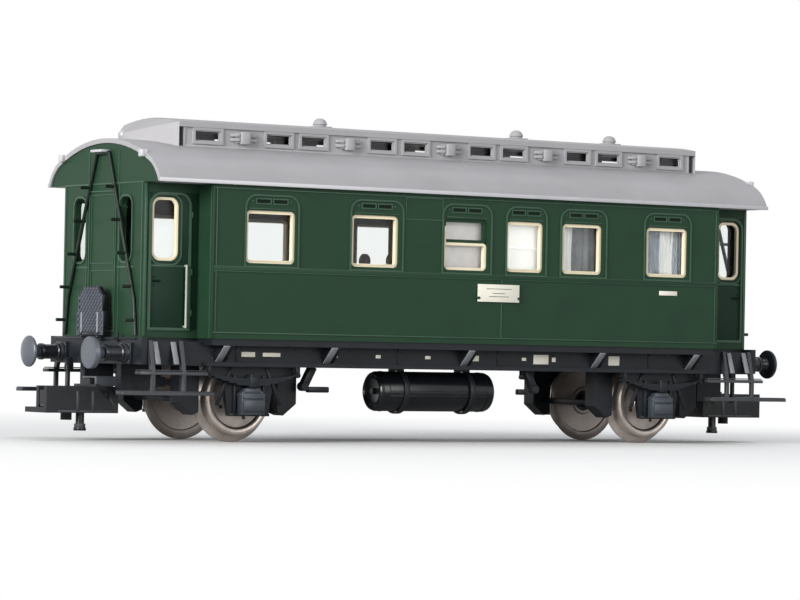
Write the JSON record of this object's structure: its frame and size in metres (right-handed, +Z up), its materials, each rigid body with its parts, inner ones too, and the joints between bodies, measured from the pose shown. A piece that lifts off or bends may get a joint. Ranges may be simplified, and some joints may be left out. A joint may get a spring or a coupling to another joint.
{
  "type": "model passenger coach",
  "caption": "Two-axle model railway passenger coach with a clerestory roof, recessed end doors, sprung buffers, swinging couplers and fold-down gangway plates.",
  "frame": {"origin": "on the ground under the middle of the coach, at the level of the wheel flanges", "axes": "+X along the coach to its rear end, +Y to its right side, +Z up"},
  "size_m": [0.1358, 0.0352, 0.0505],
  "materials": {
    "coach_green": "satin, evenly coloured moulding",
    "roof_silver": "satin silver-grey",
    "frame_black": "satin blue-black",
    "fitting_black": "satin black",
    "step_black": "satin black",
    "buffer_black": "satin black with a slight polish on the heads",
    "coupler_black": "satin black",
    "tread_grey": "satin dark grey with a raised tread",
    "frame_cream": "printed cream",
    "clear_glazing": "clear polished plastic",
    "blind_card": "matt card",
    "seat_brown": "matt brown",
    "partition_beige": "matt beige",
    "ballast_steel": "sheared sheet",
    "wheel_nickel": "turned, nickel plated",
    "axle_steel": "blackened turned steel",
    "bush_plastic": "black moulding",
    "spring_steel": "bright spring wire",
    "screw_steel": "bright steel",
    "bright_wire": "bright drawn wire"
  },
  "bodies": {
    "coach": {"underframe": "frame_black", "ballast_weight": "ballast_steel", "seat_insert": "seat_brown", "interior_partitions": "partition_beige", "body_shell": "coach_green", "glazing_left": "clear_glazing", "glazing_right": "clear_glazing", "window_frames_left": "frame_cream", "window_frames_right": "frame_cream", "vestibule_glazing": "clear_glazing", "door_window_frames": "frame_cream", "window_blinds": "blind_card", "roof": "roof_silver", "clerestory_glazing": "clear_glazing", "clerestory_vents": "roof_silver", "roof_ventilators": "roof_silver", "lamp_brackets": "fitting_black", "door_handrails": "bright_wire", "end_ladder_front": "fitting_black", "end_ladder_rear": "fitting_black", "gangway_hinges": "fitting_black", "buffer_housings": "fitting_black", "axle_guards_front": "frame_black", "axle_guards_rear": "frame_black", "axle_boxes": "frame_black", "leaf_springs": "frame_black", "brake_blocks": "frame_black", "brake_rigging": "frame_black", "gas_tank": "frame_black", "tank_straps": "frame_black", "entrance_steps_front": "step_black", "entrance_steps_rear": "step_black", "coupler_pivot_screws": "screw_steel", "centring_spring_front": "spring_steel", "buffer_spring_front_left": "spring_steel", "buffer_spring_front_right": "spring_steel", "centring_spring_rear": "spring_steel", "buffer_spring_rear_left": "spring_steel", "buffer_spring_rear_right": "spring_steel"},
    "wheelset_front": {"axle_front": "axle_steel", "axle_bush_front": "bush_plastic", "wheel_front_left": "wheel_nickel", "wheel_front_right": "wheel_nickel"},
    "coupler_front": {"drawbar_front": "coupler_black", "coupler_head_front": "coupler_black"},
    "hook_front": {"coupler_hook_front": "coupler_black"},
    "gangway_front": {"gangway_plate_front": "tread_grey"},
    "buffer_front_left": {"buffer_plunger_front_left": "buffer_black"},
    "buffer_front_right": {"buffer_plunger_front_right": "buffer_black"},
    "wheelset_rear": {"axle_rear": "axle_steel", "axle_bush_rear": "bush_plastic", "wheel_rear_left": "wheel_nickel", "wheel_rear_right": "wheel_nickel"},
    "coupler_rear": {"drawbar_rear": "coupler_black", "coupler_head_rear": "coupler_black"},
    "hook_rear": {"coupler_hook_rear": "coupler_black"},
    "gangway_rear": {"gangway_plate_rear": "tread_grey"},
    "buffer_rear_left": {"buffer_plunger_rear_left": "buffer_black"},
    "buffer_rear_right": {"buffer_plunger_rear_right": "buffer_black"}
  },
  "joints": [
    {"name": "wheelset_front_spin", "type": "hinge", "parent": "coach", "child": "wheelset_front", "pos_m": [-0.0387, 0, 0.0066], "axis": [0, 1, 0], "continuous": true},
    {"name": "coupler_front_swing", "type": "hinge", "parent": "coach", "child": "coupler_front", "pos_m": [-0.049, 0, 0.009], "axis": [0, 0, 1], "range_deg": [-10, 10], "stiffness_Nm_per_rad": 0.0005, "deforming": ["centring_spring_front"]},
    {"name": "hook_front_lift", "type": "hinge", "parent": "coupler_front", "child": "hook_front", "pos_m": [-0.0576, 0, 0.0069], "axis": [0, 1, 0], "range_deg": [0, 8]},
    {"name": "gangway_front_fold", "type": "hinge", "parent": "coach", "child": "gangway_front", "pos_m": [-0.05875, 0, 0.01595], "axis": [0, -1, 0], "range_deg": [0, 88]},
    {"name": "buffer_front_left_stroke", "type": "slide", "parent": "coach", "child": "buffer_front_left", "axis": [1, 0, 0], "range_m": [0, 0.001], "stiffness_N_per_m": 200, "springref_m": -0.0004, "deforming": ["buffer_spring_front_left"]},
    {"name": "buffer_front_right_stroke", "type": "slide", "parent": "coach", "child": "buffer_front_right", "axis": [1, 0, 0], "range_m": [0, 0.001], "stiffness_N_per_m": 200, "springref_m": -0.0004, "deforming": ["buffer_spring_front_right"]},
    {"name": "wheelset_rear_spin", "type": "hinge", "parent": "coach", "child": "wheelset_rear", "pos_m": [0.0387, 0, 0.0066], "axis": [0, 1, 0], "continuous": true},
    {"name": "coupler_rear_swing", "type": "hinge", "parent": "coach", "child": "coupler_rear", "pos_m": [0.049, 0, 0.009], "axis": [0, 0, 1], "range_deg": [-10, 10], "stiffness_Nm_per_rad": 0.0005, "deforming": ["centring_spring_rear"]},
    {"name": "hook_rear_lift", "type": "hinge", "parent": "coupler_rear", "child": "hook_rear", "pos_m": [0.0576, 0, 0.0069], "axis": [0, -1, 0], "range_deg": [0, 8]},
    {"name": "gangway_rear_fold", "type": "hinge", "parent": "coach", "child": "gangway_rear", "pos_m": [0.05875, 0, 0.01595], "axis": [0, 1, 0], "range_deg": [0, 88]},
    {"name": "buffer_rear_left_stroke", "type": "slide", "parent": "coach", "child": "buffer_rear_left", "axis": [-1, 0, 0], "range_m": [0, 0.001], "stiffness_N_per_m": 200, "springref_m": -0.0004, "deforming": ["buffer_spring_rear_left"]},
    {"name": "buffer_rear_right_stroke", "type": "slide", "parent": "coach", "child": "buffer_rear_right", "axis": [-1, 0, 0], "range_m": [0, 0.001], "stiffness_N_per_m": 200, "springref_m": -0.0004, "deforming": ["buffer_spring_rear_right"]}
  ]
}
